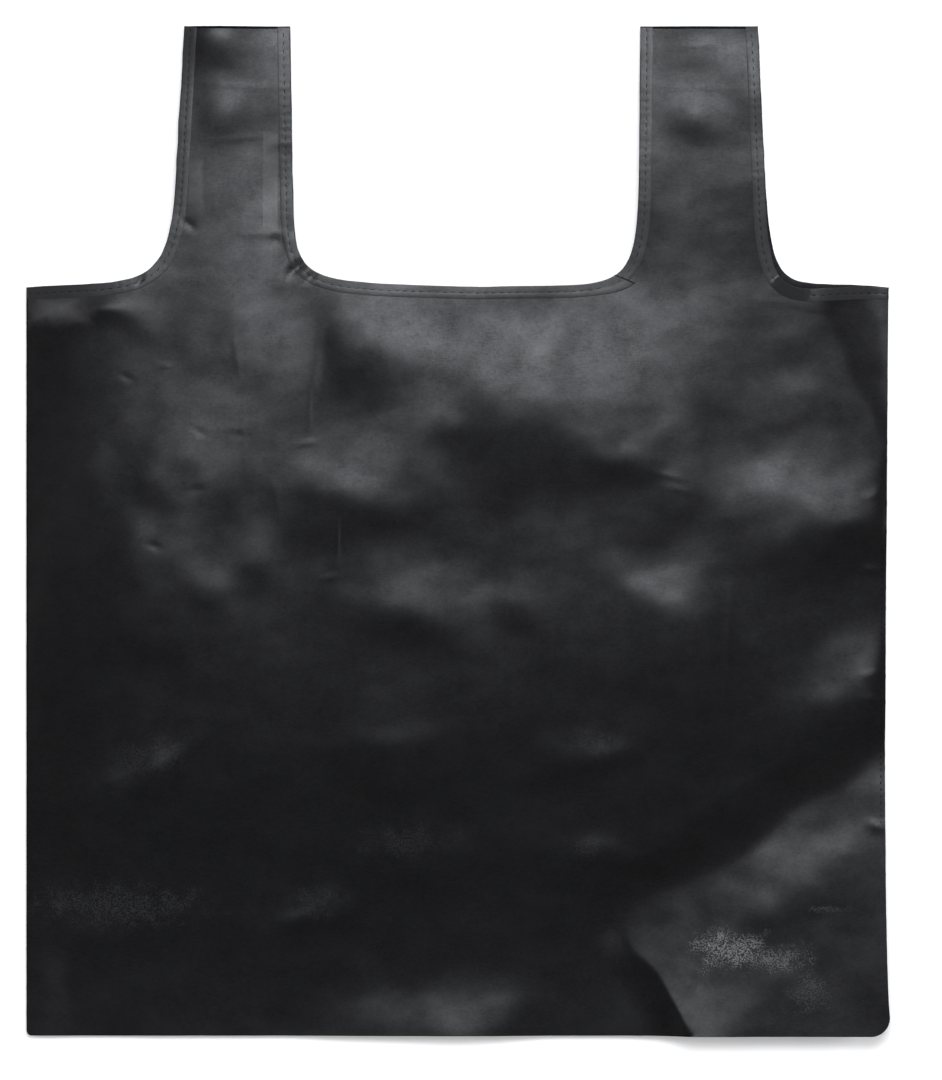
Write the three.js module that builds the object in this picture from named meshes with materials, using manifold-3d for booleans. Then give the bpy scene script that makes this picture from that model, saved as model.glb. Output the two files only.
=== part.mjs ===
// A foldable shopping bag of thin black coated cloth, in millimetres. It lies on its back with its mouth
// towards +Y: the back panel is flat on the floor and the front panel is lofted softly over it. Each panel
// is cut in one with its half of both carrying straps. Every edge is turned in: a sewn hem runs round the
// mouth, and seam allowances lie inside where the panels meet at the sides, the bottom and the strap tops.

import * as THREE from 'three';
import { mergeVertices } from 'three/addons/utils/BufferGeometryUtils.js';
import Module from 'manifold-3d';

const wasm = await Module();
wasm.setup();

// Cut of the panels, measured from the bottom seam and from one side seam to the other
const bodyWidth = 400;
const bodyHeight = 347;
const strapReach = 121; // strap tops above the mouth
const leftStrapWidth = 49;
const rightStrapWidth = 54.5;
const leftShoulder = 73.3; // side seam to the strap's outer corner
const rightShoulder = 60.8;
const neckLowOffset = 6.9; // lowest point of the neck, right of its middle

// How each side of a strap bends into the mouth: lean is how far it splays on its way down, rise is where
// the bend starts above the mouth, hold and draw are the pull of the strap and of the mouth on the bend,
// and slope is the mouth's tilt at the far end, in degrees
const leftOuterBend = { lean: 3.8, rise: 50, hold: 1.07, draw: 0.78, slope: 3.1 };
const leftInnerBend = { lean: 1.4, rise: 43, hold: 1, draw: 0.97, slope: 1.6 };
const rightInnerBend = { lean: 0.7, rise: 53.6, hold: 1.13, draw: 0.9, slope: 1.6 };
const rightFrontBend = { lean: 3.4, rise: 38.1, hold: 1.41, draw: 0.74, slope: 3.9 };
const rightBackBend = { lean: 2.9, rise: 55.6, hold: 1.24, draw: 0.87, slope: 6.3 }; // shows past the front

// Corners of the body, and the soft inward bow of its right side seam
const bottomLeftRadius = 2.5;
const bottomRightRadius = 9;
const mouthRightRadius = 2.6;
const sideBow = 3.6;
const sideBowHeight = 42;

// Cloth, hems and seams
const clothThickness = 0.4;
const turnedLayers = 3; // layers of cloth in a hem or a turned seam allowance
const hemWidth = 5.1;
const hemRidge = 0.3; // how far the outside stands up over a hem
const seamAllowance = 8;
const panelGap = 0.3; // between the two panels where they are sewn together

// Loft of the front panel over the back one. From each side seam its edge rolls up at once to a small share of
// the loft, and the rest follows over a longer run
const loftHeight = 15;
const crestHeight = 178; // the loft rises to here from the bottom seam, and falls off from here to the mouth
const edgeShare = 0.16;
const edgeRoll = 6;
const leftRun = 30;
const rightRun = 70;

// Soft folds of the front panel: where each lies, its half length and half width, its turn in degrees from
// the X axis, and how far it stands up
const folds = [
  { x: 48, y: 286, length: 38, width: 34, turn: 11, height: 4.6 },
  { x: -40, y: 329, length: 26, width: 24, turn: -4, height: 3.4 },
  { x: -48, y: 249, length: 27, width: 16, turn: -4, height: 1.8 },
  { x: -14, y: 192, length: 40, width: 15, turn: -12, height: 1.6 },
  { x: 108, y: 190, length: 22, width: 18, turn: -8, height: 2 },
  { x: 168, y: 238, length: 42, width: 20, turn: 2, height: 3.2 },
  { x: 152, y: 286, length: 34, width: 13, turn: -4, height: 1.1 },
  { x: -119, y: 262, length: 90, width: 26, turn: 88, height: 1.4 },
  { x: 168, y: 150, length: 40, width: 19, turn: 14, height: 1.4 },
  { x: 170, y: 70, length: 40, width: 14, turn: 22, height: 1.6 },
  { x: 110, y: -8, length: 24, width: 28, turn: 0, height: 3 },
  { x: -20, y: 0, length: 56, width: 18, turn: 14, height: 5 },
];
const foldFade = 10; // the folds and creases die out this close to a seam

// Two creases run in from the right side seam, each from its height there to a tip. Beyond the lower one the
// cloth lies low and then stands up towards the bottom right corner. Beyond the upper one it falls away from
// the shoulder to the seam.
const cornerCrease = { height: 114, run: 131, tipHeight: 46, slope: 0.14, reach: 200, softness: 6, fade: 12 };
const shoulderCrease = { height: 268, run: 32, tipHeight: 342, slope: -0.28, reach: 60, softness: 4, fade: 12 };
const cornerLoft = 0.5; // share of the loft left beyond the lower crease
const cornerEasing = 12; // half of the way over which the loft goes down to that share

// Fineness of the modelled cloth
const gridPitch = 11.5;
const bendSteps = 14; // straight steps round a bend of the mouth
const cornerSteps = 5;

// Sizes that follow from the ones above
const bagHeight = bodyHeight + strapReach;
const leftSeam = -bodyWidth / 2;
const rightSeam = bodyWidth / 2;
const leftStrapOuter = leftSeam + leftShoulder;
const leftStrapInner = leftStrapOuter + leftStrapWidth;
const rightStrapOuter = rightSeam - rightShoulder;
const rightStrapInner = rightStrapOuter - rightStrapWidth;
const neckLow = (leftStrapInner + rightStrapInner) / 2 + neckLowOffset;
const turnedThickness = turnedLayers * clothThickness;
const frontSeat = turnedThickness + panelGap + turnedThickness; // outside of the front panel at its seams
const leftHand = 1; // side of a crease, on the way in from its seam
const rightHand = -1;
const clear = 1; // overrun of the cutting shapes past what they cut
const drapeMargin = 0.3; // the draped blanks reach just past the cut edges

const taffeta = new THREE.MeshStandardMaterial({ color: 0x2b2c2e, roughness: 0.55, metalness: 0 });
const liningSide = new THREE.MeshStandardMaterial({ color: 0x242527, roughness: 0.6, metalness: 0 });

// One side of a strap and the mouth beyond it: straight down from the strap top to the foot, then one bend
// that runs out level at the far end.
function strapSide(topX, endX, bend) {
  const away = Math.sign(endX - topX);
  const top = new THREE.Vector2(topX, bagHeight);
  const foot = new THREE.Vector2(topX + away * bend.lean, bodyHeight + bend.rise);
  const end = new THREE.Vector2(endX, bodyHeight);
  const down = foot.clone().sub(top).normalize();
  const footPull = foot.clone().addScaledVector(down, bend.hold * bend.rise);
  const draw = bend.draw * Math.abs(endX - foot.x);
  const tilt = Math.tan(THREE.MathUtils.degToRad(bend.slope));
  const endPull = new THREE.Vector2(endX - away * draw, bodyHeight + draw * tilt);
  return { top, foot, footPull, endPull, end };
}

function downTheStrap({ top, foot, footPull, endPull, end }) {
  return [new THREE.LineCurve(top, foot), new THREE.CubicBezierCurve(foot, footPull, endPull, end)];
}

function upTheStrap({ top, foot, footPull, endPull, end }) {
  return [new THREE.CubicBezierCurve(end, endPull, footPull, foot), new THREE.LineCurve(foot, top)];
}

function joined(...curves) {
  const edge = new THREE.CurvePath();
  edge.curves.push(...curves);
  return edge;
}

// The three free edges of a panel, in the order they come up going round it from the right side seam.
function mouthEdges(rightBend) {
  const rightOuter = strapSide(rightStrapOuter, rightSeam, rightBend);
  const rightInner = strapSide(rightStrapInner, neckLow, rightInnerBend);
  const leftInner = strapSide(leftStrapInner, neckLow, leftInnerBend);
  const leftOuter = strapSide(leftStrapOuter, leftSeam, leftOuterBend);
  return {
    rightShoulderEdge: joined(...upTheStrap(rightOuter)),
    neckEdge: joined(...downTheStrap(rightInner), ...upTheStrap(leftInner)),
    leftShoulderEdge: joined(...downTheStrap(leftOuter)),
  };
}

// Points along a free edge, moved inwards by the hem, from one trimmed end to the other. Straight stretches
// keep only their ends, bends are stepped evenly, and a trim below nothing runs on past the end.
function edgePoints(edge, hemInset, startTrim, endTrim) {
  const total = edge.getLength();
  const stops = [startTrim, total - endTrim];
  let reached = 0;
  for (const curve of edge.curves) {
    const span = curve.getLength();
    const steps = curve.isLineCurve ? 1 : bendSteps;
    for (let i = 0; i <= steps; i += 1) {
      stops.push(reached + (span * i) / steps);
    }
    reached += span;
  }
  const kept = stops.filter((s) => s >= startTrim && s <= total - endTrim).sort((a, b) => a - b);
  const apart = kept.filter((s, i) => i === 0 || s - kept[i - 1] > clothThickness / 2);
  return apart.map((s) => {
    const on = THREE.MathUtils.clamp(s, 0, total);
    const along = edge.getTangent(on / total);
    const inwards = new THREE.Vector2(-along.y, along.x);
    return edge.getPoint(on / total).addScaledVector(along, s - on).addScaledVector(inwards, hemInset);
  });
}

// Outline of a panel, drawn in from its cut edges: by the hem along the mouth, and by the seam along the
// sides, the bottom and the strap tops.
function panelOutline(edges, hemInset, seamInset) {
  const left = leftSeam + seamInset;
  const right = rightSeam - seamInset;
  const rounded = (radius) => Math.max(radius - seamInset, clothThickness);
  const leftRadius = rounded(bottomLeftRadius);
  const rightRadius = rounded(bottomRightRadius);
  const mouthRadius = rounded(mouthRightRadius);
  const shoulder = edgePoints(edges.rightShoulderEdge, hemInset, seamInset + mouthRadius, seamInset);
  const neck = edgePoints(edges.neckEdge, hemInset, seamInset, seamInset);
  const armhole = edgePoints(edges.leftShoulderEdge, hemInset, seamInset, seamInset);

  const outline = new THREE.Shape();
  outline.absarc(left + leftRadius, seamInset + leftRadius, leftRadius, Math.PI, 1.5 * Math.PI);
  outline.absarc(right - rightRadius, seamInset + rightRadius, rightRadius, -0.5 * Math.PI, 0);
  outline.quadraticCurveTo(right - sideBow, sideBowHeight, right, shoulder[0].y - mouthRadius);
  outline.quadraticCurveTo(right, shoulder[0].y, shoulder[0].x, shoulder[0].y);
  for (const point of [...shoulder.slice(1), ...neck, ...armhole]) {
    outline.lineTo(point.x, point.y);
  }
  outline.closePath();
  return outline;
}

function toSolid(geometry) {
  geometry.deleteAttribute('normal');
  geometry.deleteAttribute('uv');
  const merged = mergeVertices(geometry);
  const vertProperties = new Float32Array(merged.attributes.position.array);
  const triVerts = new Uint32Array(merged.index.array);
  return new wasm.Manifold(new wasm.Mesh({ numProp: 3, vertProperties, triVerts }));
}

function toGeometry(solid) {
  const { vertProperties, triVerts } = solid.getMesh();
  const geometry = new THREE.BufferGeometry();
  geometry.setAttribute('position', new THREE.BufferAttribute(vertProperties, 3));
  geometry.setIndex(new THREE.BufferAttribute(triVerts, 1));
  geometry.computeVertexNormals();
  return geometry;
}

// A blank of cloth between two height functions of x and y, over the whole bag.
function draped(low, high, pitch) {
  const across = bodyWidth + 2 * drapeMargin;
  const along = bagHeight + 2 * drapeMargin;
  const blank = new THREE.BoxGeometry(across, along, 1, Math.ceil(across / pitch), Math.ceil(along / pitch), 1);
  blank.translate(0, bagHeight / 2, 0);
  const at = blank.attributes.position;
  for (let i = 0; i < at.count; i += 1) {
    const face = at.getZ(i) > 0 ? high : low;
    at.setZ(i, face(at.getX(i), at.getY(i)));
  }
  return toSolid(blank);
}

// An upright cutter of the given outline, taller than anything it cuts.
function upright(outline) {
  const reach = frontSeat + 2 * loftHeight + clear;
  const cutter = new THREE.ExtrudeGeometry(outline, {
    depth: 2 * reach,
    bevelEnabled: false,
    curveSegments: cornerSteps,
  });
  cutter.translate(0, 0, -reach);
  return toSolid(cutter);
}

function foldHeight(x, y) {
  let height = 0;
  for (const fold of folds) {
    const offset = new THREE.Vector2(x - fold.x, y - fold.y);
    offset.rotateAround(new THREE.Vector2(), -THREE.MathUtils.degToRad(fold.turn));
    height += fold.height * Math.exp(-((offset.x / fold.length) ** 2) - (offset.y / fold.width) ** 2);
  }
  return height;
}

// Where a point lies by a crease: how far beyond it, to the right of the way in from its seam or to the left
// of that way, and how much of the crease is left there as it fades out past its tip.
function beside({ height, run, tipHeight, fade }, hand, x, y) {
  const seam = new THREE.Vector2(rightSeam, height);
  const inwards = new THREE.Vector2(rightSeam - run, tipHeight).sub(seam);
  const length = inwards.length();
  inwards.normalize();
  const offset = new THREE.Vector2(x, y).sub(seam);
  const left = THREE.MathUtils.smoothstep(length - inwards.dot(offset), -fade, fade);
  return { beyond: hand * inwards.cross(offset), left };
}

function creaseHeight(crease, hand, x, y) {
  const { beyond, left } = beside(crease, hand, x, y);
  const past = crease.softness * Math.log1p(Math.exp(beyond / crease.softness));
  return crease.slope * past * Math.exp(-past / crease.reach) * left;
}

// Share of the full loft that the lower crease leaves.
function loftLeft(x, y) {
  const { beyond, left } = beside(cornerCrease, leftHand, x, y);
  const lowered = THREE.MathUtils.smoothstep(beyond, -cornerEasing, cornerEasing) * left;
  return THREE.MathUtils.lerp(1, cornerLoft, lowered);
}

// Share of the full loft at a distance from a side seam.
function rise(distance, run) {
  const inside = Math.max(distance, 0);
  return edgeShare * Math.tanh(inside / edgeRoll) + (1 - edgeShare) * Math.tanh(inside / run);
}

// Full loft along the bag: up to the crest from the bottom seam, falling off ever faster from there to the
// mouth, and then straight down the straps to nothing at their tops.
function loftAlong(y) {
  const easing = bodyHeight - crestHeight;
  const mouthLoft = loftHeight / (1 + easing / (2 * strapReach));
  if (y > bodyHeight) {
    return (mouthLoft * (bagHeight - y)) / strapReach;
  }
  const past = Math.max(y - crestHeight, 0);
  const fall = (mouthLoft * past * past) / (2 * strapReach * easing);
  return loftHeight * THREE.MathUtils.smoothstep(y, 0, crestHeight) - fall;
}

// Outside of the front panel: seated on the back panel along the seams, lofted and softly folded between. The
// side seams end at the mouth, so their hold on the loft is gone half way up the straps.
function frontFace(x, y) {
  const fromSeam = Math.max(Math.min(x - leftSeam, rightSeam - x, y, bagHeight - y), 0);
  const sides = rise(x - leftSeam, leftRun) * rise(rightSeam - x, rightRun);
  const free = THREE.MathUtils.smoothstep(y, bodyHeight, bodyHeight + strapReach / 2);
  const share = THREE.MathUtils.lerp(sides, 1, free) * loftLeft(x, y);
  const creased = creaseHeight(cornerCrease, leftHand, x, y) + creaseHeight(shoulderCrease, rightHand, x, y);
  const lift = share * loftAlong(y) + Math.tanh(fromSeam / foldFade) * (foldHeight(x, y) + creased);
  return frontSeat + Math.max(lift, 0);
}

function frontPanel() {
  const edges = mouthEdges(rightFrontBend);
  const raised = (lift) => (x, y) => frontFace(x, y) + lift;
  const blank = draped(raised(-turnedThickness), raised(hemRidge), gridPitch);
  const inner = draped(raised(-turnedThickness - clear), raised(-clothThickness), gridPitch);
  const outer = draped(raised(0), raised(hemRidge + clear), gridPitch);
  const field = inner.intersect(upright(panelOutline(edges, hemWidth, seamAllowance)));
  const openFace = outer.intersect(upright(panelOutline(edges, hemWidth, -clear)));
  return blank.intersect(upright(panelOutline(edges, 0, 0))).subtract(field).subtract(openFace);
}

function backPanel() {
  const edges = mouthEdges(rightBackBend);
  const level = (height) => () => height;
  const blank = draped(level(0), level(turnedThickness), bagHeight);
  const inner = draped(level(clothThickness), level(turnedThickness + clear), bagHeight);
  const field = inner.intersect(upright(panelOutline(edges, hemWidth, seamAllowance)));
  return blank.intersect(upright(panelOutline(edges, 0, 0))).subtract(field);
}

function named(name, solid, material) {
  const mesh = new THREE.Mesh(toGeometry(solid), material);
  mesh.name = name;
  return mesh;
}

// The origin is on the floor under the middle of the bag
const bag = new THREE.Group();
bag.add(named('front_panel', frontPanel(), taffeta));
bag.add(named('back_panel', backPanel(), liningSide));
bag.position.y = -bagHeight / 2;

export default bag;
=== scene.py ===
import math
import bpy
import numpy as np
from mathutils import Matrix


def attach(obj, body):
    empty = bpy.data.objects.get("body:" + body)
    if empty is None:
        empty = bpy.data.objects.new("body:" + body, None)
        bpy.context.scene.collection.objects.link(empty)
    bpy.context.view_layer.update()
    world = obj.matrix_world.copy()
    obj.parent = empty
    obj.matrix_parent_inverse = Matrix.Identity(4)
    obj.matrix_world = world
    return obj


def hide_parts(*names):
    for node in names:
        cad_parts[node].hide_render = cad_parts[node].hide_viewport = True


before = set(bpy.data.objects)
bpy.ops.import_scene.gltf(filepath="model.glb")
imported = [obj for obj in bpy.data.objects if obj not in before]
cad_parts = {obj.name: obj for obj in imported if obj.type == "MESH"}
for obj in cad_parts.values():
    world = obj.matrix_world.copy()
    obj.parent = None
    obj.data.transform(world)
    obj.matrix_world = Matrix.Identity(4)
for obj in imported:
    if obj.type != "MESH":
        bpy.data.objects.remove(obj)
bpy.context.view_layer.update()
mm = 0.001

# Cut of the panels in millimetres, from the bottom seam and the bag's middle line
cut = dict(
    width=400, height=347, reach=121,  # the body, and how far the straps reach above it
    leftStrap=49, rightStrap=54.5, leftShoulder=73.3, rightShoulder=60.8, neckOffset=6.9,
    bottomLeft=2.5, bottomRight=9, bow=3.6, bowHeight=42,  # bottom corners, and the right seam's bend
)
bagHeight = cut["height"] + cut["reach"]
leftSeam, rightSeam = -cut["width"] / 2, cut["width"] / 2
leftOuterX = leftSeam + cut["leftShoulder"]
leftInnerX = leftOuterX + cut["leftStrap"]
rightOuterX = rightSeam - cut["rightShoulder"]
rightInnerX = rightOuterX - cut["rightStrap"]
neckLow = (leftInnerX + rightInnerX) / 2 + cut["neckOffset"]

# Bend under each side of a strap: lean of the side, rise of its foot, pull at foot and end, end slope
bends = dict(
    leftOuter=dict(lean=3.8, rise=50, hold=1.07, draw=0.78, slope=3.1),
    leftInner=dict(lean=1.4, rise=43, hold=1, draw=0.97, slope=1.6),
    rightInner=dict(lean=0.7, rise=53.6, hold=1.13, draw=0.9, slope=1.6),
    rightFront=dict(lean=3.4, rise=38.1, hold=1.41, draw=0.74, slope=3.9),
    rightBack=dict(lean=3.2, rise=58, hold=1.2, draw=0.87, slope=6.3),
)
pointCounts = dict(strap=60, bend=240, arc=12, side=120)  # points along each stretch of the outline
outlineStep = 2.5  # step along the outline where distances to it are taken


# One side of a strap and the mouth beyond it: a straight line down to the foot, then one cubic bend
def strapSide(topX, endX, bend):
    away = np.sign(endX - topX)
    top = np.array([topX, bagHeight])
    foot = np.array([topX + away * bend["lean"], cut["height"] + bend["rise"]])
    end = np.array([endX, cut["height"]])
    footPull = foot + bend["hold"] * bend["rise"] * (foot - top) / np.linalg.norm(foot - top)
    draw = bend["draw"] * abs(endX - foot[0])
    endPull = np.array([endX - away * draw, cut["height"] + draw * math.tan(math.radians(bend["slope"]))])
    line = top + np.linspace(0, 1, pointCounts["strap"])[:, None] * (foot - top)
    t = np.linspace(0, 1, pointCounts["bend"])[1:, None]
    leaving = (1 - t) ** 3 * foot + 3 * (1 - t) ** 2 * t * footPull
    curve = leaving + 3 * (1 - t) * t ** 2 * endPull + t ** 3 * end
    return np.vstack([line, curve])


# Points at even steps of arc length along a line, and the length up to each of them
def evenly(points, pitch):
    steps = np.r_[0, np.cumsum(np.linalg.norm(np.diff(points, axis=0), axis=1))]
    at = np.linspace(0, steps[-1], max(2, round(steps[-1] / pitch) + 1))
    return np.stack([np.interp(at, steps, points[:, i]) for i in range(points.shape[1])], 1), at


# The three free edges of a panel, in order round it from the right side seam
def mouthEdges(rightBend):
    rightOuter = strapSide(rightOuterX, rightSeam, rightBend)[::-1]
    rightInner = strapSide(rightInnerX, neckLow, bends["rightInner"])
    leftInner = strapSide(leftInnerX, neckLow, bends["leftInner"])[::-1]
    leftOuter = strapSide(leftOuterX, leftSeam, bends["leftOuter"])
    return dict(rightArm=rightOuter, neck=np.vstack([rightInner, leftInner[1:]]), leftArm=leftOuter)


# Points on a circle's arc: the centre plus the radius times the cosine and sine of each angle
def arc(centre, radius, start, stop):
    turn = np.radians(np.linspace(start, stop, pointCounts["arc"]))[:, None]
    return np.array(centre) + radius * np.hstack([np.cos(turn), np.sin(turn)])


# The two sewn sides, each with its bottom corner as an arc: the left one straight, down from the mouth, and
# the right one a quadratic bend, up to the mouth
def sewnSides():
    leftRound, rightRound = cut["bottomLeft"], cut["bottomRight"]
    foot = np.array([rightSeam, rightRound])
    head = np.array([rightSeam, cut["height"]])
    pull = np.array([rightSeam - cut["bow"], cut["bowHeight"]])
    t = np.linspace(0, 1, pointCounts["side"])[:, None]
    bowed = (1 - t) ** 2 * foot + 2 * (1 - t) * t * pull + t ** 2 * head
    leftArc = arc((leftSeam + leftRound, leftRound), leftRound, 180, 270)
    rightArc = arc((rightSeam - rightRound, rightRound), rightRound, -90, 0)
    return np.vstack([[[leftSeam, cut["height"]]], leftArc]), np.vstack([rightArc[:-1], bowed])


leftSide, rightSide = sewnSides()
seamLine = np.vstack([leftSide, rightSide])


# A panel's closed outline: the sewn line, then its three free edges
def outlineOf(edges):
    return np.vstack([seamLine[:-1], edges["rightArm"], edges["neck"], edges["leftArm"][:-1]])


# Distance to a closed outline: that of the nearest segment, and below zero outside, where a line to the
# right crosses the outline an even number of times
def insideDistance(x, y, outline):
    line, _ = evenly(np.vstack([outline, outline[:1]]), outlineStep)
    near = np.full(x.shape, np.inf)
    odd = np.zeros(x.shape, bool)
    for (fromX, fromY), (toX, toY) in zip(line[:-1], line[1:]):
        goX, goY = toX - fromX, toY - fromY
        along = np.clip(((x - fromX) * goX + (y - fromY) * goY) / (goX * goX + goY * goY), 0, 1)
        near = np.minimum(near, (x - fromX - along * goX) ** 2 + (y - fromY - along * goY) ** 2)
        if goY != 0:
            odd ^= ((fromY > y) != (toY > y)) & (x < fromX + (y - fromY) * goX / goY)
    return np.where(odd, 1, -1) * np.sqrt(near)


# Smooth step: three t squared less two t cubed, where t is the share of the way from low to high
def smoothStep(value, low, high):
    t = np.clip((value - low) / (high - low), 0, 1)
    return t * t * (3 - 2 * t)


# Smooth unevenness: a sum of cosines in random directions, spread about one wavelength, of unit strength
def waves(x, y, seed, wavelength, count=20, spread=(0.6, 1.6)):
    draws = np.random.default_rng(seed)
    turns, phases = draws.uniform(0, 2 * np.pi, count), draws.uniform(0, 2 * np.pi, count)
    rates = 2 * np.pi / (wavelength * draws.uniform(*spread, count))
    terms = (np.cos(rate * (x * np.cos(turn) + y * np.sin(turn)) + phase)
             for turn, phase, rate in zip(turns, phases, rates))
    return sum(terms) * math.sqrt(2 / count)


# Loft of the front panel over the back one, and how it rises from each side seam
loft = dict(
    height=15, crest=178, seat=2.7, least=1.3, soft=0.35,  # seat: at the seams, least: soft lower limit
    fade=8, hold=2.5,  # fade of the folds at the left seam, hold times shorter at the right and top
    strapFade=24,  # fade of the straps' rises at their tops
    leftShare=0.12, leftRoll=6, leftRun=30, rightShare=0.14, rightRoll=0.03, rightRun=125,
)
corner = dict(line=(200, 127, 69, 48), share=0.8, run=24, tip=9)  # crease across the lower right corner

# Folds: (x, y, half length, half width, turn in degrees, height), each a soft long swell
mainFolds = [
    (40, 287, 50, 33, 6, 5.3), (-41, 319, 22, 25, -4, 3.5), (-47, 251, 28, 17, -2, 3.0),
    (-20, 196, 27, 14, -5, 2.0), (100, 186, 34, 42, -14, 2.8), (94, 201, 30, 14, -27, 0.9),
    (176, 240, 46, 24, 2, 5.2), (150, 290, 34, 14, -4, 0.6), (105, 256, 19, 17, -4, 1.6),
    (-119, 262, 90, 26, 88, 1.4), (166, 150, 40, 19, 14, 1.6), (187, 163, 24, 15, 42, 2.6),
    (170, 72, 40, 14, 22, 1.2), (110, -8, 24, 28, 0, 3.0), (0, -9, 32, 26, 12, 5.5),
    (-48, -14, 28, 20, 10, 3.4),
]
smallFolds = [
    (-2, 291, 30, 10, 24, 0.5), (40, 188, 25, 17, -10, 1.0), (78, 270, 22, 10, 8, 0.9),
    (114, 275, 20, 10, -4, 0.2), (-130, 200, 40, 18, 60, 0.35), (-143, 198, 27, 17, -42, 0.9),
    (-137, 222, 34, 40, 0, 2.2), (-142, 122, 27, 12, 34, 1.9), (-40, 128, 30, 12, -10, 1.4),
    (61, 130, 20, 10, 8, 1.3), (-20, 84, 38, 11, 4, 1.3), (62, 82, 20, 10, 8, 1.2),
    (-160, 52, 44, 12, 0, 0.7), (-65, 55, 20, 10, 18, 1.4), (-172, 330, 26, 7, 0, 1.2),
]
strapFolds = [
    (-108, 428, 11, 11.5, 0, 1.3), (-112, 468, 17, 19, 0, 4.2), (110, 425, 11, 10, 0, 0.95),
    (112, 464, 17, 14, 0, 2.0), (140, 390, 60, 24, 84, 0.8), (139, 445, 22, 12, 90, 1.6),
]
strapRises = [(112, 540, 40, 110, 0, 4.2), (-104, 470, 40, 55, 0, 1.6)]

# Ticks: short sharp creases and puckers, in the same form as the folds
ticks = [
    (-153, 305, 3.4, 1.3, -28, -0.21), (-135.5, 310.5, 3, 1.1, -8, 0.12),
    (-119, 279.5, 3.4, 1.3, -24, -0.18), (-102, 278.5, 3, 1.2, -10, -0.12),
    (-153, 260, 3, 1, 0, 0.11), (-185, 253, 4, 1.4, -14, -0.18),
    (-119.5, 253, 3.4, 1, 0, -0.12), (-140, 227, 3.6, 1.3, -22, -0.21), (-183, 231, 4, 1.4, -20, -0.18),
    (-102, 315, 12, 1.3, -83, 0.16), (-98, 272, 14, 1.3, -86, 0.18), (-67, 295, 22, 1.5, -97, 0.21),
    (-84, 250, 8, 1.3, -80, 0.15), (-55, 229, 17, 1.3, -98, 0.2), (-59, 212.5, 4, 1.2, 10, 0.15),
    (-70, 274.5, 5, 1.1, 8, 0.15), (31, 268, 14, 1.6, -88, 0.15), (98, 259.5, 8.5, 1.1, -14, 0.16),
    (104, 252.5, 7, 1.0, -14, 0.1), (125, 180, 36, 1.8, -94, 0.1), (-91, 371.4, 10, 0.9, 0, 0.1),
    (-83.6, 368, 3.6, 3.2, 0, -0.4), (-124, 375.6, 3.6, 1.5, -38, -0.3), (-100, 416, 12, 1.1, 6, 0.07),
    (-98, 440, 16, 1.1, -3, 0.08), (160, 340, 20, 1.0, -3, 0.08), (170, 336.5, 24, 1.1, -7, 0.1),
    (188, 328, 12, 1.0, -32, 0.1), (112, 459, 20, 1.1, 2, 0.08), (112, 439, 18, 1.0, -2, 0.08),
    (-73.4, 356.4, 5, 2.1, 34, -0.85), (-67.4, 351.8, 3.6, 1.7, 48, -0.45),
    (-77.4, 352.6, 3.4, 0.9, 46, -0.16), (-79.6, 354.4, 3, 0.8, 58, -0.1),
    (-81, 353.5, 8, 3, 68, 0.28), (-146.5, 350.4, 3, 1.2, 62, -0.35),
    (194, 251, 5, 2.2, 12, 0.45), (192, 216, 5, 2, -10, 0.4), (194, 168, 5, 2, 8, 0.35),
    (194, 156, 5, 2, -6, 0.3), (195, 97, 5, 2.4, -20, 0.4),
]

# Facets: (from x, y, to x, y, slope, reach, softness, ends), cloth that slopes on the left of a line
facets = [
    (*corner["line"], 0.15, 240, 3, corner["tip"]), (168, 342, 200, 268, -0.18, 60, 1.2, 10),
    (-88, 410, -88, 371, -0.12, 6, 0.8, 3), (-117, 378, -117, 411, 0.06, 6, 1.2, 4),
]

# Warp that makes outlines cloudy: two wavelengths with their seeds, and for each kind of form the shifts
# (wide in x, fine in x, wide in y, fine in y)
warp = dict(
    wide=60, wideSeeds=(1, 2), fine=28, fineSeeds=(3, 4),
    main=(2.4, 0.7, 1.8, 0.5), small=(4, 2, 3, 1.4), facet=(0, 0.8, 0, 0.8), corner=(2, 0, 2, 0),
)
crinkles = [(5, 80, 0.3), (6, 34, 0.05), (9, 15, 0.012)]  # seed, wavelength, height


# Sum of the folds at points: height times a bell across its width and along its length
def swell(x, y, rows):
    total = 0
    for foldX, foldY, length, width, turn, height in rows:
        cosine, sine = math.cos(math.radians(turn)), math.sin(math.radians(turn))
        along, across = (x - foldX) * cosine + (y - foldY) * sine, (y - foldY) * cosine - (x - foldX) * sine
        total = total + height * np.exp(-(along / length) ** 2 - (across / width) ** 2)
    return total


# Distance of points to the left of a line and along it, and the line's length
def beside(x, y, fromX, fromY, toX, toY):
    length = math.hypot(toX - fromX, toY - fromY)
    wayX, wayY = (toX - fromX) / length, (toY - fromY) / length
    return wayX * (y - fromY) - wayY * (x - fromX), wayX * (x - fromX) + wayY * (y - fromY), length


# Sum of the facets: slope times the distance past the line, dying away over the reach and at both ends
def bent(x, y, rows):
    total = 0
    for *line, slope, reach, soft, fade in rows:
        left, along, length = beside(x, y, *line)
        past = soft * np.logaddexp(0, left / soft)
        ends = smoothStep(along, -fade, fade) * np.clip((length - along + fade) / (2 * fade), 0, 1) ** 2
        total = total + slope * past * np.exp(-past / reach) * ends
    return total


# Rise of the loft from a side seam: a share of it at once, over the roll, and the rest over the run
def rise(distance, side):
    inside = np.maximum(distance, 0)
    share, roll, run = (loft[side + part] for part in ("Share", "Roll", "Run"))
    return share * np.tanh(inside / roll) + (1 - share) * np.tanh(inside / run)


# Share of the loft kept: one, less a share times a smooth step that is full at the corner's line and past
# it, and that ends at the line's far tip
def cornerKept(x, y):
    past, along, length = beside(x, y, *corner["line"])
    ends = smoothStep(length - along, -corner["tip"], corner["tip"])
    return 1 - corner["share"] * smoothStep(past, -corner["run"], 0) * ends


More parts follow.
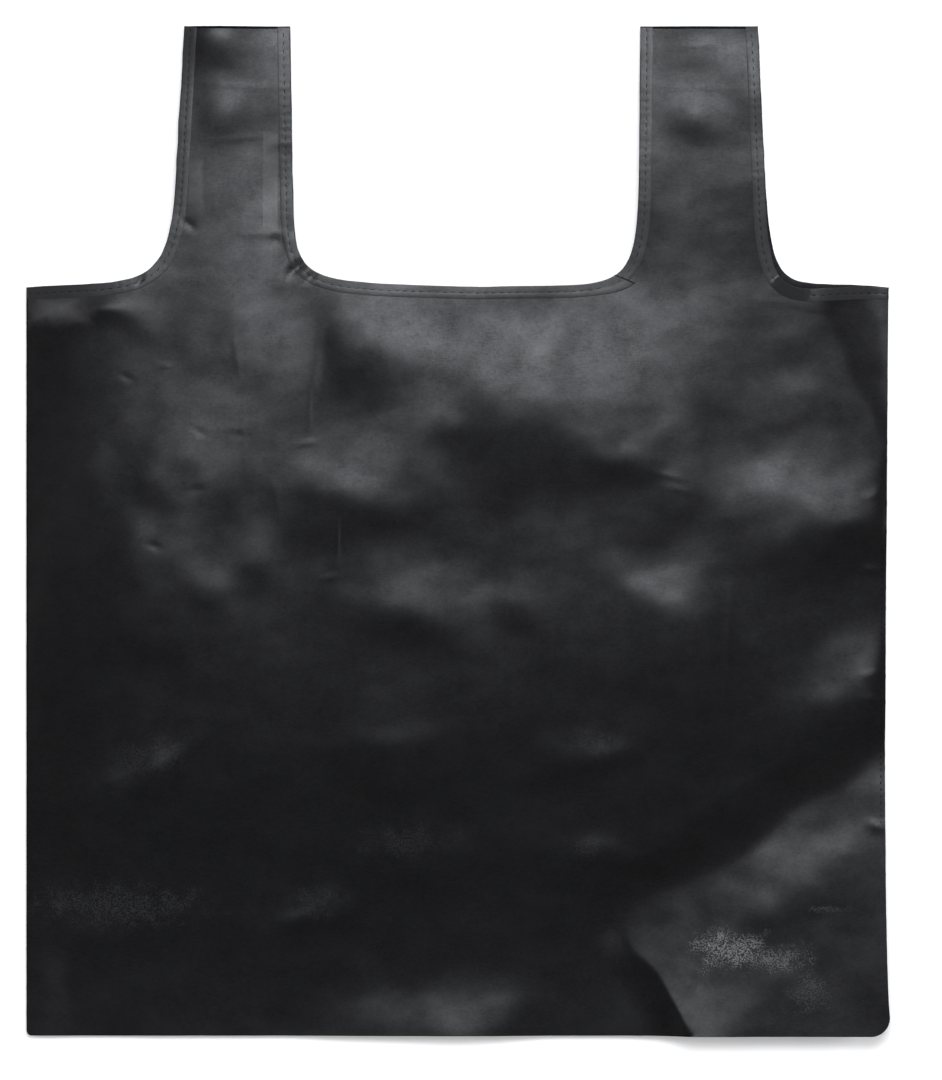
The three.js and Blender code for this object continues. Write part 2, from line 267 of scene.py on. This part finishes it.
# Loft along the bag: a smooth step to the crest, a parabola to the mouth, a straight fall along the straps
def loftAlong(y):
    easing = cut["height"] - loft["crest"]
    mouthLoft = loft["height"] / (1 + easing / (2 * cut["reach"]))
    past = np.clip(y - loft["crest"], 0, easing)
    fallen = mouthLoft * past ** 2 / (2 * cut["reach"] * easing)
    body = loft["height"] * smoothStep(y, 0, loft["crest"]) - fallen
    return np.where(y > cut["height"], mouthLoft * (bagHeight - y) / cut["reach"], body)


# Outside of the front panel: the seat at the seams, the loft, and folds whose outlines a warp makes cloudy
def frontHeight(x, y):
    wideX, wideY = (waves(x, y, seed, warp["wide"]) for seed in warp["wideSeeds"])
    fineX, fineY = (waves(x, y, seed, warp["fine"]) for seed in warp["fineSeeds"])

    def warped(form):
        wideAcross, fineAcross, wideUp, fineUp = warp[form]
        return x + wideAcross * wideX + fineAcross * fineX, y + wideUp * wideY + fineUp * fineY

    sides = rise(x - leftSeam, "left") * rise(rightSeam - x, "right")
    sides = sides + (1 - sides) * smoothStep(y, cut["height"], cut["height"] + cut["reach"] / 2)
    lofted = loft["seat"] + sides * loftAlong(y) * cornerKept(*warped("corner"))
    lofted = lofted + bent(*warped("facet"), facets)
    lofted = loft["least"] + loft["soft"] * np.logaddexp(0, (lofted - loft["least"]) / loft["soft"])
    raised = swell(x, y, strapRises) * np.tanh(np.maximum(bagHeight - y, 0) / loft["strapFade"])
    raised = raised + swell(x, y, strapFolds)
    folds = swell(*warped("main"), mainFolds) + swell(*warped("small"), smallFolds) + swell(x, y, ticks)
    crinkle = sum(height * waves(x, y, seed, wavelength) for seed, wavelength, height in crinkles)
    edge = np.minimum(x - leftSeam, loft["hold"] * np.minimum(rightSeam - x, bagHeight - y))
    return lofted + raised + (folds + crinkle) * np.tanh(np.maximum(edge, 0) / loft["fade"])


back = dict(height=0.42, uneven=0.08, wavelength=60, seed=11, curl=(5, 60))


# Outside of the back panel: flat on the floor, but at the seams of the corner it curls up with the front
def backHeight(x, y):
    seam = np.minimum(y, rightSeam - x)
    curled = bent(x, y, facets[:1]) * (1 - smoothStep(seam, *back["curl"]))
    return back["height"] + back["uneven"] * waves(x, y, back["seed"], back["wavelength"]) + curled


# A new material with its nodes, links and shader
def nodeTree(name):
    material = bpy.data.materials.new(name)
    material.use_nodes = True
    nodes, links = material.node_tree.nodes, material.node_tree.links
    return material, nodes, links, nodes["Principled BSDF"]


# A new node group that takes a position and puts out the named sockets, with its nodes, links and two ends
def surfaceGroup(name, outputs):
    group = bpy.data.node_groups.new(name, "ShaderNodeTree")
    group.interface.new_socket("Vector", in_out="INPUT", socket_type="NodeSocketVector")
    for output, kind in outputs.items():
        group.interface.new_socket(output, in_out="OUTPUT", socket_type=kind)
    nodes = group.nodes
    return group, nodes, group.links, nodes.new("NodeGroupInput"), nodes.new("NodeGroupOutput")


# Taffeta: noises (scale, detail, roughness), and their shares in the relief and in the coating's sheen
weave = dict(
    weft=((420, 1700, 400), 1, 0.5), warp=((1700, 420, 400), 1, 0.5),
    mottle=((60, 75, 60), 4, 0.52), clouds=((60, 75, 60), 4, 0.6), grain=((900, 1000, 900), 1, 0.6),
    relief=dict(mottle=0.12, weft=0.003, warp=0.0018),
    sheen=dict(clouds=0.62, grain=0.26, weft=0.18, warp=0.14), coat=0.34,  # coat: weight at middle noise
    dark=(0.0034, 0.0034, 0.0037, 1), pale=(0.0072, 0.0072, 0.0078, 1),
)


# Taffeta surface from a position: streaks along each yarn, and a coating that is uneven in clouds and grain
def weaveGroup():
    sockets = dict(Color="NodeSocketColor", Coat="NodeSocketFloat", Height="NodeSocketFloat")
    group, nodes, links, start, end = surfaceGroup("taffetaSurface", sockets)

    def noise(scale, detail, roughness):
        placed = nodes.new("ShaderNodeMapping")
        placed.inputs["Scale"].default_value = scale
        texture = nodes.new("ShaderNodeTexNoise")
        texture.inputs["Scale"].default_value = 1
        texture.inputs["Detail"].default_value = detail
        texture.inputs["Roughness"].default_value = roughness
        links.new(start.outputs["Vector"], placed.inputs["Vector"])
        links.new(placed.outputs["Vector"], texture.inputs["Vector"])
        return texture.outputs["Fac"]

    noises = {name: noise(*weave[name]) for name in ("weft", "warp", "mottle", "clouds", "grain")}

    # Sum of the noises, each times its share
    def mixed(shares):
        total = None
        for name, share in shares.items():
            node = nodes.new("ShaderNodeMath")
            node.operation = "MULTIPLY_ADD"
            node.inputs[1].default_value = share
            node.inputs[2].default_value = 0
            links.new(noises[name], node.inputs[0])
            if total is not None:
                links.new(total, node.inputs[2])
            total = node.outputs["Value"]
        return total

    links.new(mixed(weave["relief"]), end.inputs["Height"])
    tone = nodes.new("ShaderNodeMix")
    tone.data_type = "RGBA"
    tone.inputs["A"].default_value = weave["dark"]
    tone.inputs["B"].default_value = weave["pale"]
    links.new(noises["weft"], tone.inputs["Factor"])
    links.new(tone.outputs["Result"], end.inputs["Color"])
    middle = 0.5 * sum(weave["sheen"].values())
    uneven = nodes.new("ShaderNodeMapRange")
    uneven.inputs["From Min"].default_value = middle - weave["coat"]
    uneven.inputs["From Max"].default_value = middle + 1 - weave["coat"]
    links.new(mixed(weave["sheen"]), uneven.inputs["Value"])
    links.new(uneven.outputs["Result"], end.inputs["Coat"])
    return group


taffetaSurface = weaveGroup()

# Painted glints: pale specks of painted sparkle, thick in the middle of each patch (x, y, half length, half
# width, strength)
paintedGlints = dict(
    color=(0.32, 0.32, 0.325, 1), plane=8,  # plane: height of the patches' middles
    grain=(1500, 0), edge=(160, 3),  # noises of the specks and of the patches' edges: scale, detail
    ragged=1.6, solid=0.7, thicker=0.16, level=(0.56, 0.76),  # ragged edge, solid middle, specks' level
    patches=[
        (126, 40, 22, 12, 0.36), (146, 36, 26, 8, 0.18), (161, 21, 18, 12, 0.08), (171, 59, 12, 2.2, 0.08),
        (61, 137, 16, 8, 0.03), (-20, 91, 32, 11, 0.022), (60, 89, 16, 8, 0.03), (-157, 61, 52, 14, 0.042),
        (-65, 62, 18, 11, 0.022), (-143, 130, 26, 14, 0.026),
    ],
)

# Painted sheen: strips of pale colour standing in for light the cloth reflects (x, y, half width, half
# height, strength, softness)
paintedSheen = dict(
    ragged=0.7, mottle=1.8,  # ragged edge, mottled inside
    strips=[
        (-86.6, 396.5, 3.9, 25, 0.085, 0.2), (-121.5, 396, 5.5, 17, 0.07, 0.6),
        (-185, 337, 27, 12, 0.17, 1), (-186, 26, 11, 32, 0.016, 1), (-182, 255, 30, 110, 0.012, 1),
        (-67.5, 292, 1.3, 17, 0.035, 0.9), (-54.5, 230, 1.3, 16, 0.03, 0.9),
    ],
)


# Share of painted glint and painted sheen at each point: the part of a fine noise above a level, with the
# noise raised towards the middle of a patch, and soft-edged boxes for the painted sheen strips
def paintedLightGroup():
    group, nodes, links, start, end = surfaceGroup("paintedGlintsAndSheen", dict(Mask="NodeSocketFloat"))

    def combined(operation, first, second):
        node = nodes.new("ShaderNodeMath")
        node.operation = operation
        for socket, value in zip(node.inputs, (first, second)):
            if isinstance(value, float):
                socket.default_value = value
            else:
                links.new(value, socket)
        return node.outputs["Value"]

    def noise(scale, detail):
        texture = nodes.new("ShaderNodeTexNoise")
        texture.inputs["Scale"].default_value = scale
        texture.inputs["Detail"].default_value = detail
        links.new(start.outputs["Vector"], texture.inputs["Vector"])
        return texture.outputs["Fac"]

    # Position from the middle of a patch, in units of its half sizes
    def placedAt(x, y, z, width, tall):
        placed = nodes.new("ShaderNodeMapping")
        placed.vector_type = "TEXTURE"
        placed.inputs["Location"].default_value = (x * mm, (y - bagHeight / 2) * mm, z * mm)
        placed.inputs["Scale"].default_value = (width * mm, tall * mm, 1)
        links.new(start.outputs["Vector"], placed.inputs["Vector"])
        return placed.outputs["Vector"]

    # Share of the way of a value from low to high, times a strength
    def ranged(value, low, high, strength=1.0, easing="LINEAR"):
        node = nodes.new("ShaderNodeMapRange")
        node.interpolation_type = easing
        node.inputs["From Min"].default_value = low
        node.inputs["From Max"].default_value = high
        node.inputs["To Max"].default_value = strength
        links.new(value, node.inputs["Value"])
        return node.outputs["Result"]

    grain, edge = noise(*paintedGlints["grain"]), noise(*paintedGlints["edge"])
    jagged = combined("SUBTRACT", edge, 0.5)  # the noise about its middle
    total = 0.0
    for x, y, length, width, strength in paintedGlints["patches"]:
        reach = nodes.new("ShaderNodeVectorMath")
        reach.operation = "LENGTH"
        links.new(placedAt(x, y, paintedGlints["plane"], length, width), reach.inputs[0])
        near = combined("SUBTRACT", 1.0, reach.outputs["Value"])
        near = combined("ADD", near, combined("MULTIPLY", jagged, paintedGlints["ragged"]))
        held = ranged(near, 0.0, paintedGlints["solid"])
        level = combined("ADD", grain, combined("MULTIPLY", held, paintedGlints["thicker"]))
        passed = ranged(level, *paintedGlints["level"], strength)
        total = combined("MAXIMUM", total, combined("MULTIPLY", passed, held))
    # Painted sheen strips: soft-edged boxes of pale colour, mottled inside
    for x, y, width, tall, strength, softness in paintedSheen["strips"]:
        apart = nodes.new("ShaderNodeSeparateXYZ")
        links.new(placedAt(x, y, 0, width, tall), apart.inputs["Vector"])
        away = combined("MAXIMUM", *(combined("ABSOLUTE", apart.outputs[axis], 0.0) for axis in ("X", "Y")))
        away = combined("ADD", away, combined("MULTIPLY", jagged, paintedSheen["ragged"] * softness))
        faded = ranged(away, 1.0, 1.0 - softness, easing="SMOOTHSTEP")
        held = combined("MULTIPLY", faded, faded)
        mottled = combined("MULTIPLY", held, combined("MULTIPLY", edge, paintedSheen["mottle"] * strength))
        total = combined("MAXIMUM", total, mottled)
    links.new(total, end.inputs["Mask"])
    return group


paintedGlintsAndSheen = paintedLightGroup()

# Finish that all the cloth shares: the coating's roughness, and the gloss and tint of the cloth under it
finish = dict(coatRoughness=0.28, roughness=0.4, gloss=0.06, tint=(0.92, 0.945, 1, 1))


# Cloth: the taffeta surface with a share of its coating, painted glints and sheen where asked, and a mix
# with white
def clothMaterial(name, coated, withPaintedLight=False, lighter=0.0):
    material, nodes, links, shader = nodeTree(name)
    where = nodes.new("ShaderNodeTexCoord")
    surface = nodes.new("ShaderNodeGroup")
    surface.node_tree = taffetaSurface
    links.new(where.outputs["Object"], surface.inputs["Vector"])
    color = surface.outputs["Color"]
    # Painted glints and painted sheen: the base colour mixed towards pale grey where the mask says
    if withPaintedLight:
        paintedMask, pale = nodes.new("ShaderNodeGroup"), nodes.new("ShaderNodeMix")
        paintedMask.node_tree = paintedGlintsAndSheen
        pale.data_type = "RGBA"
        pale.inputs["B"].default_value = paintedGlints["color"]
        links.new(where.outputs["Object"], paintedMask.inputs["Vector"])
        links.new(paintedMask.outputs["Mask"], pale.inputs["Factor"])
        links.new(color, pale.inputs["A"])
        color = pale.outputs["Result"]
    if lighter:
        lifted = nodes.new("ShaderNodeMix")
        lifted.data_type = "RGBA"
        lifted.inputs["Factor"].default_value = lighter
        lifted.inputs["B"].default_value = (1, 1, 1, 1)
        links.new(color, lifted.inputs["A"])
        color = lifted.outputs["Result"]
    links.new(color, shader.inputs["Base Color"])
    coat = nodes.new("ShaderNodeMath")
    coat.operation = "MULTIPLY"
    coat.inputs[1].default_value = coated
    links.new(surface.outputs["Coat"], coat.inputs[0])
    links.new(coat.outputs["Value"], shader.inputs["Coat Weight"])
    bump = nodes.new("ShaderNodeBump")
    bump.inputs["Strength"].default_value = 1
    bump.inputs["Distance"].default_value = mm
    links.new(surface.outputs["Height"], bump.inputs["Height"])
    links.new(bump.outputs["Normal"], shader.inputs["Normal"])
    shader.inputs["Coat Roughness"].default_value = finish["coatRoughness"]
    shader.inputs["Roughness"].default_value = finish["roughness"]
    shader.inputs["Specular IOR Level"].default_value = finish["gloss"] * coated
    shader.inputs["Specular Tint"].default_value = finish["tint"]
    return material


threadFinish = dict(color=(0.004, 0.004, 0.0042, 1), roughness=0.6, gloss=0.1)


# Sewing thread: one plain dark colour
def threadMaterial():
    material, _, _, shader = nodeTree("thread")
    shader.inputs["Base Color"].default_value = threadFinish["color"]
    shader.inputs["Roughness"].default_value = threadFinish["roughness"]
    shader.inputs["Specular IOR Level"].default_value = threadFinish["gloss"]
    return material


# The outer front cloth carries the painted glints and painted sheen
taffeta = clothMaterial("taffeta", coated=1.0, withPaintedLight=True)
turned = clothMaterial("turnedCloth", coated=1.0, lighter=0.016)
lining = clothMaterial("liningSide", coated=0.5)
edging = clothMaterial("edgeCloth", coated=0.2)
thread = threadMaterial()
print("cloth and thread materials")


# A piece of the bag in the shared frame: points less half the bag's height in y, from millimetres to metres
def addPiece(name, points, faces, material, node):
    mesh = bpy.data.meshes.new(name)
    mesh.from_pydata(((np.asarray(points) - (0, bagHeight / 2, 0)) * mm).tolist(), [], faces)
    mesh.materials.append(material)
    mesh.polygons.foreach_set("use_smooth", np.ones(len(mesh.polygons), bool))
    obj = bpy.data.objects.new(name, mesh)
    bpy.context.scene.collection.objects.link(obj)
    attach(obj, "root")
    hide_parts(node)
    return obj


# Quads of a grid: each point with its neighbours in the next column and the next row
def gridFaces(rows, columns):
    point = np.arange(rows * columns).reshape(rows, columns)
    return np.stack([point[:-1, :-1], point[:-1, 1:], point[1:, 1:], point[1:, :-1]], -1).reshape(-1, 4)


# Faces of a closed tube: quads from each point to the next in its ring and the next ring, and two end caps
def tubeFaces(rings, around):
    point = np.arange(rings * around).reshape(rings, around)
    beyond = np.roll(point, -1, 1)
    sides = np.stack([point[:-1], beyond[:-1], beyond[1:], point[1:]], -1).reshape(-1, 4).tolist()
    return sides + [point[0].tolist(), point[-1][::-1].tolist()]


# Unit tangents and inward normals along a line walked with the panel on its left
def inward(points):
    tangent = np.gradient(points, axis=0)
    tangent /= np.linalg.norm(tangent, axis=1, keepdims=True)
    return tangent, np.stack([-tangent[:, 1], tangent[:, 0]], 1)


# Unevenness along a line: straight stretches between normal random values at even knots
def jitter(at, knots, draws):
    return np.interp(at, np.linspace(0, at[-1], knots), draws.normal(0, 1, knots))


# Panel sheets: pitch of the grid, its inset from the seams, and how far inside the free edges it has to be
frontSheet = dict(pitch=1.26, inset=0.12)
backSheet = dict(pitch=2.5, inset=0.6)
trimmed = dict(margin=0.05, below=20)  # only the band from this far below the mouth upwards is trimmed


# A panel of cloth: a grid between the side seams at the height function, kept where inside the outline
def panelSheet(name, height, edges, material, node, pitch, inset):
    across = np.linspace(0, 1, round(cut["width"] / pitch) + 1)
    up = np.linspace(inset, bagHeight, round(bagHeight / pitch) + 1)
    leftEnd = np.interp(up, leftSide[::-1, 1], leftSide[::-1, 0]) + inset
    rightEnd = np.interp(up, rightSide[:, 1], rightSide[:, 0]) - inset
    x = (leftEnd[:, None] + across * (rightEnd - leftEnd)[:, None]).ravel()
    y = np.repeat(up, len(across))
    kept = insideDistance(x, y, outlineOf(edges)) > trimmed["margin"]
    kept = kept | (y < cut["height"] - trimmed["below"])
    faces = gridFaces(len(up), len(across))
    faces = faces[kept[faces].all(1)]
    used, faces = np.unique(faces, return_inverse=True)
    points = np.stack([x[used], y[used], height(x[used], y[used])], 1)
    return addPiece(name, points, faces.reshape(-1, 4).tolist(), material, node)


# Hem: an inset and height profile, gathered at each stitch, that wanders a little at its rim
hem = dict(
    pitch=0.75, floor=0.03, frontSeed=20, backSeed=40,
    stitch=3.7, groove=3.05, gather=0.012, loose=0.5, looseKnots=60,  # stitch pitch, its inset, gathers
    wander=0.08, wanderKnots=40, rim=2,  # the profile wanders where its inset is less than the rim
    flare=0.5, curlStart=2, curlStop=0.8,  # widening of a flap, and the run in and out of a curl
    inset=np.array([0, 0.03, 0.15, 0.5, 1.5, 2.5, 2.9, 3.2, 3.6, 4.2, 4.8, 5.4, 5.8, 5.9, 5.8, 2.6, 0.5]),
    lift=np.array([-0.25, 0.06, 0.1, 0.11, 0.12, 0.12, 0.1, 0.1, 0.12,
                   0.12, 0.1, 0.06, 0.02, 0, -0.3, -0.4, -0.35]),
)


# A flat closed band: the profile carried along an edge at the cloth's height, plus a cosine at each stitch.
# It may start as a pointed flap (shear of its end, lift, run) or stand up at its edge (from, to, height)
def hemBand(name, edge, height, material, node, seed, flap=(0, 0, 1), curl=(0, 0, 0)):
    shear, flapLift, flapRun = flap
    curlFrom, curlTo, curlHeight = curl
    points, at = evenly(edge, hem["pitch"])
    tangent, inside = inward(points)
    draws = np.random.default_rng(seed)
    loose = 1 + hem["loose"] * jitter(at, hem["looseKnots"], draws)
    top = np.clip(hem["lift"], 0, None) / hem["lift"].max()
    gather = hem["gather"] * (loose * np.cos(2 * np.pi * at / hem["stitch"]))[:, None] * top
    wander = hem["wander"] * jitter(at, hem["wanderKnots"], draws)[:, None]
    start = np.exp(-((at / flapRun) ** 2))[:, None]
    inset = hem["inset"] * (1 + hem["flare"] * shear * start) + wander * (hem["inset"] < hem["rim"])
    slid = shear * start * inset
    x, y = (points[:, i, None] + inside[:, i, None] * inset - tangent[:, i, None] * slid for i in (0, 1))
    curlOn = smoothStep(at, curlFrom - hem["curlStart"], curlFrom + hem["curlStart"])
    curlOff = smoothStep(at, curlTo + hem["curlStop"], curlTo - hem["curlStop"])
    stands = curlHeight * (curlOn * curlOff)[:, None]
    z = height(x, y) + hem["lift"] + gather + flapLift * start + stands * (1 - inset / hem["inset"].max())
    rings = np.stack([x, y, np.maximum(z, hem["floor"])], -1)
    return addPiece(name, rings.reshape(-1, 3), tubeFaces(*rings.shape[:2]), material, node)


# Stitch: a thread's length, radius, lift and turn in degrees, and the profile of one along its length
stitch = dict(
    length=2.4, radius=0.14, lift=0.11, askew=5, spread=4, step=0.25, sides=6,
    along=np.array([-0.5, -0.46, -0.3, 0, 0.3, 0.46, 0.5]),
    girth=np.array([0.15, 0.7, 0.95, 1, 0.95, 0.7, 0.15]),
    sag=np.array([-0.3, -0.16, -0.02, 0.03, -0.02, -0.16, -0.3]),
)


# Stitches: one small capsule for each pitch of a line, laid along it at an inset and turned a little askew
def stitchRow(name, line, pitch, inset, seed, bare=(0, 0), **changed):
    made = dict(stitch, **changed)
    points, at = evenly(line, made["step"])
    tangent, inside = inward(points)
    middle = np.arange(pitch / 2, at[-1] - pitch / 2, pitch)
    middle = middle[(middle < bare[0]) | (middle > bare[1])]
    spot = np.searchsorted(at, middle)
    draws = np.random.default_rng(seed)
    turn = np.radians(made["askew"] + draws.normal(0, made["spread"], len(spot)))[:, None]
    axis = tangent[spot] * np.cos(turn) + inside[spot] * np.sin(turn)
    side = np.stack([-axis[:, 1], axis[:, 0]], 1)
    centre = points[spot] + inside[spot] * inset
    base = np.column_stack([centre, frontHeight(centre[:, 0], centre[:, 1]) + made["lift"]])
    along = made["along"] * made["length"]
    girth = (made["girth"] * made["radius"])[:, None]
    angle = np.linspace(0, 2 * np.pi, made["sides"] + 1)[:-1]
    across, up = girth * np.cos(angle), girth * np.sin(angle) + made["sag"][:, None]
    axisWay, sideWay = (np.pad(way, ((0, 0), (0, 1)))[:, None, None] for way in (axis, side))
    rings = base[:, None, None] + axisWay * along[:, None, None] + sideWay * across[..., None]
    rings = rings + np.array([0, 0, 1]) * up[..., None]
    capsule = tubeFaces(len(along), len(angle))
    size = len(along) * len(angle)
    faces = [[point + number * size for point in face] for number in range(len(spot)) for face in capsule]
    return addPiece(name, rings.reshape(-1, 3), faces, thread, "front_panel")


# Rolled edge: its section, and puckers that draw it in and sink it
roll = dict(
    pitch=1.0, width=1.0, height=0.6, around=24, square=0.3,  # square: power that makes the ring squarish
    under=0.12, floor=0.02,  # how far under the front cloth it stays, and its lowest height
    knots=130, drawn=0.25, sunk=0.05, seamSeed=60, strapSeed=61,
)


# A rolled edge where both panels are sewn: a squarish ring swept along the line, from the back cloth to
# just under the front cloth that it meets, with puckers of a strength given along it
def rolledEdge(name, line, pucker, seed):
    points, at = evenly(line, roll["pitch"])
    _, inside = inward(points)
    draws = np.random.default_rng(seed)
    lump = np.abs(jitter(at, roll["knots"], draws) * pucker(points))
    angle = np.linspace(0, 2 * np.pi, roll["around"] + 1)[:-1]
    circle = (-np.cos(angle), np.sin(angle))
    across, up = (np.sign(part) * np.abs(part) ** roll["square"] for part in circle)
    meets = points + inside * roll["width"]
    top = np.maximum(roll["height"], frontHeight(meets[:, 0], meets[:, 1]) - roll["under"])
    high = (top * (1 - roll["sunk"] * lump))[:, None]
    low = np.maximum(backHeight(meets[:, 0], meets[:, 1]) - back["height"], 0)[:, None]
    inset = roll["width"] / 2 * (1 + across) + roll["drawn"] * lump[:, None]
    x, y = (points[:, i, None] + inside[:, i, None] * inset for i in (0, 1))
    z = low + (high - low) * (1 + up) / 2
    rings = np.stack([x, y, np.maximum(z, roll["floor"])], -1)
    return addPiece(name, rings.reshape(-1, 3), tubeFaces(*rings.shape[:2]), edging, "front_panel")


# The front panel, its hems and thread
frontEdges = mouthEdges(bends["rightFront"])
frontCloth = panelSheet("frontCloth", frontHeight, frontEdges, taffeta, "front_panel", **frontSheet)
neckTurn = dict(at=(73.8, 351.6), overlap=4)  # where the neck's hem is folded over itself, by a few points
neckCorner = np.argmin(np.hypot(*(frontEdges["neck"] - neckTurn["at"]).T))
hems = dict(
    rightArm=dict(edge=frontEdges["rightArm"], curl=(39, 52, 2.3)),
    rightNeck=dict(edge=frontEdges["neck"][:neckCorner + neckTurn["overlap"]]),
    neck=dict(edge=frontEdges["neck"][neckCorner:], flap=(0.7, 0.4, 7)),
    leftArm=dict(edge=frontEdges["leftArm"]),
)
for number, (name, part) in enumerate(hems.items()):
    sewing = dict(height=frontHeight, material=turned, node="front_panel", seed=hem["frontSeed"] + number)
    hemBand(name + "Hem", **part, **sewing)
    bare = part.get("curl", (0, 0))  # no stitch shows where the hem stands up
    stitchRow(name + "Stitches", part["edge"], hem["stitch"], hem["groove"], number, bare)

# Stitches that show through along the right side seam, between two heights
sideStitch = dict(pitch=3.0, inset=2.1, lift=0.0, length=1.7, radius=0.2, seed=9)
sewnFrom, sewnTo = 95, 230
sewnPart = rightSide[(rightSide[:, 1] > sewnFrom) & (rightSide[:, 1] < sewnTo)]
stitchRow("sideStitches", sewnPart, **sideStitch)
print("front panel", len(frontCloth.data.polygons), "faces")

# The back panel and its hems
backEdges = mouthEdges(bends["rightBack"])
backCloth = panelSheet("backCloth", backHeight, backEdges, lining, "back_panel", **backSheet)
for number, (name, edge) in enumerate(backEdges.items()):
    seed = hem["backSeed"] + number
    hemBand(name + "BackHem", edge, backHeight, lining, "back_panel", seed)
print("back panel", len(backCloth.data.polygons), "faces")

# Strength of the puckers: slight all round, and full along the right side above the bottom corner
puckers = dict(least=0.15, right=(190, 200), above=(20, 80), strapTop=0.1)


# Pucker strength of the seam: the least, plus the rest times a smooth step to the right and one upwards
def seamPucker(points):
    full = smoothStep(points[:, 0], *puckers["right"]) * smoothStep(points[:, 1], *puckers["above"])
    return puckers["least"] + (1 - puckers["least"]) * full


# Pucker strength of a strap top: the same all along
def strapPucker(points):
    return np.full(len(points), puckers["strapTop"])


# Sewn edges: sides and bottom in one, and the two strap tops
sewn = [rolledEdge("seamEdge", seamLine, seamPucker, roll["seamSeed"])]
strapTops = dict(leftStrapTop=(leftInnerX, leftOuterX), rightStrapTop=(rightOuterX, rightInnerX))
for name, (fromX, toX) in strapTops.items():
    topLine = np.array([[fromX, bagHeight], [toX, bagHeight]])
    sewn.append(rolledEdge(name, topLine, strapPucker, roll["strapSeed"]))
print("sewn edges", len(sewn))

ground = dict(half=4.0, depth=0.0003, color=(0.95, 0.95, 0.95, 1), roughness=0.9, glow=0.2)


# Floor: one pale square a little under the bag, with a faint glow that only the camera sees
def floorPlane():
    half, depth = ground["half"], ground["depth"]
    corners = [(x * half, y * half, -depth) for x, y in ((-1, -1), (1, -1), (1, 1), (-1, 1))]
    mesh = bpy.data.meshes.new("floor")
    mesh.from_pydata(corners, [], [(0, 1, 2, 3)])
    material, nodes, links, shader = nodeTree("paleFloor")
    shader.inputs["Base Color"].default_value = ground["color"]
    shader.inputs["Roughness"].default_value = ground["roughness"]
    shader.inputs["Specular IOR Level"].default_value = 0
    path, faint = nodes.new("ShaderNodeLightPath"), nodes.new("ShaderNodeMath")
    lit, both = nodes.new("ShaderNodeEmission"), nodes.new("ShaderNodeAddShader")
    faint.operation = "MULTIPLY"
    faint.inputs[1].default_value = ground["glow"]
    links.new(path.outputs["Is Camera Ray"], faint.inputs[0])
    links.new(faint.outputs["Value"], lit.inputs["Strength"])
    links.new(shader.outputs["BSDF"], both.inputs[0])
    links.new(lit.outputs["Emission"], both.inputs[1])
    links.new(both.outputs["Shader"], nodes["Material Output"].inputs["Surface"])
    mesh.materials.append(material)
    obj = bpy.data.objects.new("floor", mesh)
    bpy.context.scene.collection.objects.link(obj)


# Lamps aimed at the bag's middle; the cloth mirrors the cool ones and not the fills
lamps = [
    dict(name="keyLight", at=(0.2, 1.35, 2.6), size=(1.7, 2.1), power=51, mirrored=True),
    dict(name="leftFill", at=(-2.6, 0.2, 1.3), size=(1.5, 1.0), power=36, mirrored=False),
    dict(name="rightFill", at=(2.6, 0.2, 1.3), size=(1.5, 1.0), power=36, mirrored=False),
    dict(name="hotLight", at=(0.2, 1.15, 2.7), size=(0.9, 0.7), power=21, mirrored=True),
]
coolWhite, plainWhite = (0.93, 0.95, 1), (1, 1, 1)


# A soft box: an area lamp turned to the origin by its fall from the vertical and its bearing
def softBox(name, at, size, power, mirrored):
    light = bpy.data.lights.new(name, "AREA")
    light.shape = "RECTANGLE"
    light.size, light.size_y = size
    light.energy = power
    light.color = coolWhite if mirrored else plainWhite
    obj = bpy.data.objects.new(name, light)
    obj.location = at
    obj.visible_glossy = mirrored
    x, y, z = at
    obj.rotation_euler = (math.atan2(math.hypot(x, y), z), 0, math.atan2(x, -y))
    bpy.context.scene.collection.objects.link(obj)


# The room: plain white to the camera, and a dim grey light for the rest
def whiteRoom(ambient):
    world = bpy.data.worlds.new("room")
    bpy.context.scene.world = world
    world.use_nodes = True
    nodes, links = world.node_tree.nodes, world.node_tree.links
    dim, bright = nodes["Background"], nodes.new("ShaderNodeBackground")
    dim.inputs["Color"].default_value = (ambient, ambient, ambient, 1)
    bright.inputs["Color"].default_value = (1, 1, 1, 1)
    path, mix = nodes.new("ShaderNodeLightPath"), nodes.new("ShaderNodeMixShader")
    links.new(path.outputs["Is Camera Ray"], mix.inputs["Fac"])
    links.new(dim.outputs["Background"], mix.inputs[1])
    links.new(bright.outputs["Background"], mix.inputs[2])
    links.new(mix.outputs["Shader"], nodes["World Output"].inputs["Surface"])


floorPlane()
for lamp in lamps:
    softBox(**lamp)
whiteRoom(ambient=0.2)
print("floor, room and", len(lamps), "lamps")

# Camera straight above the bag: its place, and the height of the frame at the plane of the cloth
eye = dict(x=0.0062, y=-0.00415, height=3.2, frameHeight=0.5005, plane=0.004, sensor=36)
camera = bpy.data.cameras.new("camera")
camera.sensor_width = eye["sensor"]
camera.lens = eye["sensor"] * (eye["height"] - eye["plane"]) / eye["frameHeight"]
cameraObject = bpy.data.objects.new("camera", camera)
cameraObject.location = (eye["x"], eye["y"], eye["height"])
bpy.context.scene.collection.objects.link(cameraObject)
bpy.context.scene.camera = cameraObject
bpy.context.scene.view_settings.view_transform = "Standard"
